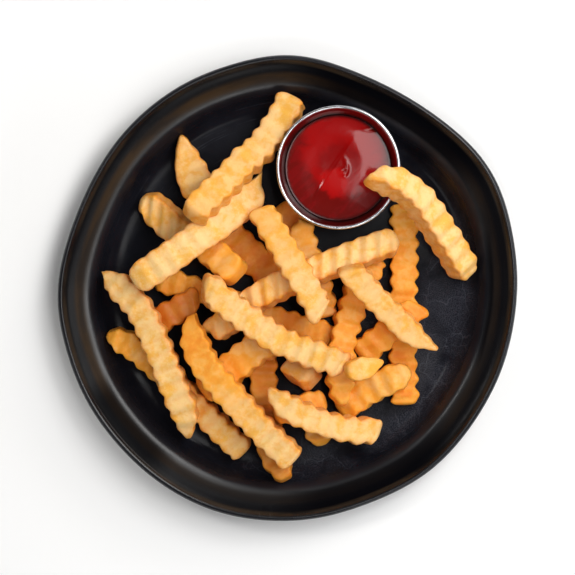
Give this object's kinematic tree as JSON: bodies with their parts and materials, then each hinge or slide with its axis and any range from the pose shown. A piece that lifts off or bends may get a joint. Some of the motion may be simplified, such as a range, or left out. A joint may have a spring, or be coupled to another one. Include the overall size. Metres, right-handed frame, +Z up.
{
  "type": "french fries portion",
  "caption": "Heap of crinkle-cut french fries on a dark round coupe plate, with a steel sauce cup of tomato dip and a fry leaning on the cup's rim.",
  "frame": {"origin": "middle of the whole part's bounding box in plan, at the plane the plate's foot ring stands on", "axes": "+Z up out of the plate, +Y towards the sauce cup's side of the plate, +X to its right as seen from above"},
  "size_m": [0.2338, 0.237, 0.0619],
  "materials": {
    "plate_glaze": "dark glazed stoneware, soft sheen, fine scratches",
    "cup_steel": "polished stainless steel",
    "tomato_dip": "glossy thick tomato sauce",
    "fried_potato": "dry golden crust, fried potato",
    "fried_potato_leaner": "dry golden crust, fried potato"
  },
  "bodies": {
    "root": {"plate": "plate_glaze", "sauce_cup": "cup_steel", "dip": "tomato_dip", "fries_heap": "fried_potato", "leaning_fry": "fried_potato_leaner"}
  },
  "joints": []
}
